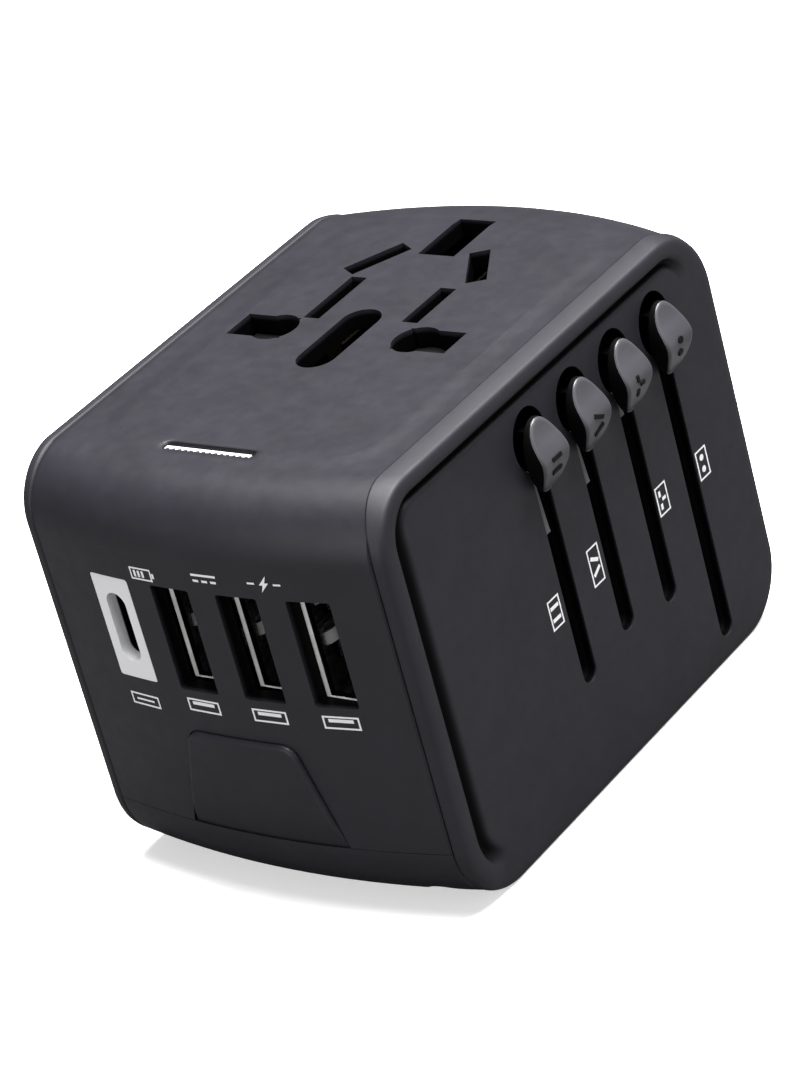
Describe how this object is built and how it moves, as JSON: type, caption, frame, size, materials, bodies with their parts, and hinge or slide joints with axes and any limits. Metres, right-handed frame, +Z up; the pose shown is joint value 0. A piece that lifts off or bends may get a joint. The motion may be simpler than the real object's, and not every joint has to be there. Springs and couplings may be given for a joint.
{
  "type": "universal travel adapter",
  "caption": "Rounded travel plug adapter with sliding pin sets, a universal socket on top and USB ports on its front.",
  "frame": {"origin": "middle of the bottom face, the face the pins slide out of", "axes": "+Z up to the socket face, -Y towards the USB front, +X towards the sliders' side"},
  "size_m": [0.0511, 0.0722, 0.0503],
  "materials": {
    "case_plastic": "satin moulded",
    "knob_plastic": "gloss",
    "carrier_plastic": "moulded",
    "sleeve_plastic": "moulded",
    "pin_metal": "nickel plated",
    "spring_steel": "plain",
    "port_metal": "plated",
    "port_plastic": "moulded",
    "bezel_plastic": "satin",
    "clear_plastic": "milky",
    "board": "resist coated",
    "ferrite": "pressed powder",
    "copper_wire": "enamelled",
    "capacitor_can": "drawn",
    "chip_plastic": "moulded",
    "contact_brass": "stamped",
    "fuse_metal": "nickel plated",
    "screw_steel": "zinc plated"
  },
  "bodies": {
    "case": {"base_cover": "case_plastic", "capacitors": "capacitor_can", "case_screws": "screw_steel", "charge_chip": "chip_plastic", "contact_tray": "carrier_plastic", "earth_contact": "contact_brass", "fuse": "fuse_metal", "fuse_clips": "contact_brass", "light_pipe": "clear_plastic", "live_contact": "contact_brass", "main_housing": "case_plastic", "neutral_contact": "contact_brass", "plain_side_cover": "case_plastic", "slider_side_cover": "case_plastic", "status_led": "clear_plastic", "transformer_coil": "copper_wire", "transformer_core": "ferrite", "usb_a_shell_1": "port_metal", "usb_a_shell_2": "port_metal", "usb_a_shell_3": "port_metal", "usb_a_tongue_1": "port_plastic", "usb_a_tongue_2": "port_plastic", "usb_a_tongue_3": "port_plastic", "usb_c_bezel": "bezel_plastic", "usb_c_shell": "port_metal", "usb_c_tongue": "port_plastic", "usb_circuit_board": "board"},
    "us_slider": {"us_carrier": "carrier_plastic", "us_knob_spring": "spring_steel", "us_blades": "pin_metal"},
    "us_thumb": {"us_knob": "knob_plastic"},
    "aus_slider": {"aus_carrier": "carrier_plastic", "aus_knob_spring": "spring_steel", "aus_blades": "pin_metal"},
    "aus_thumb": {"aus_knob": "knob_plastic"},
    "uk_slider": {"uk_carrier": "carrier_plastic", "uk_knob_spring": "spring_steel", "uk_pins": "pin_metal", "uk_earth_pin": "pin_metal", "uk_sleeves": "sleeve_plastic"},
    "uk_thumb": {"uk_knob": "knob_plastic"},
    "eu_slider": {"eu_carrier": "carrier_plastic", "eu_knob_spring": "spring_steel", "eu_pins": "pin_metal", "eu_sleeves": "sleeve_plastic"},
    "eu_thumb": {"eu_knob": "knob_plastic"},
    "shutter": {"safety_shutter": "carrier_plastic"}
  },
  "joints": [
    {"name": "us_slide", "type": "slide", "parent": "case", "child": "us_slider", "axis": [0, 0, -1], "range_m": [0, 0.0256]},
    {"name": "us_press", "type": "slide", "parent": "us_slider", "child": "us_thumb", "axis": [-1, 0, 0], "range_m": [0, 0.0005]},
    {"name": "aus_slide", "type": "slide", "parent": "case", "child": "aus_slider", "axis": [0, 0, -1], "range_m": [0, 0.0242]},
    {"name": "aus_press", "type": "slide", "parent": "aus_slider", "child": "aus_thumb", "axis": [-1, 0, 0], "range_m": [0, 0.0005]},
    {"name": "uk_slide", "type": "slide", "parent": "case", "child": "uk_slider", "axis": [0, 0, -1], "range_m": [0, 0.0257]},
    {"name": "uk_press", "type": "slide", "parent": "uk_slider", "child": "uk_thumb", "axis": [-1, 0, 0], "range_m": [0, 0.0005]},
    {"name": "eu_slide", "type": "slide", "parent": "case", "child": "eu_slider", "axis": [0, 0, -1], "range_m": [0, 0.0332]},
    {"name": "eu_press", "type": "slide", "parent": "eu_slider", "child": "eu_thumb", "axis": [-1, 0, 0], "range_m": [0, 0.0005]},
    {"name": "shutter_slide", "type": "slide", "parent": "case", "child": "shutter", "axis": [0, -1, 0], "range_m": [0, 0.0068]}
  ]
}
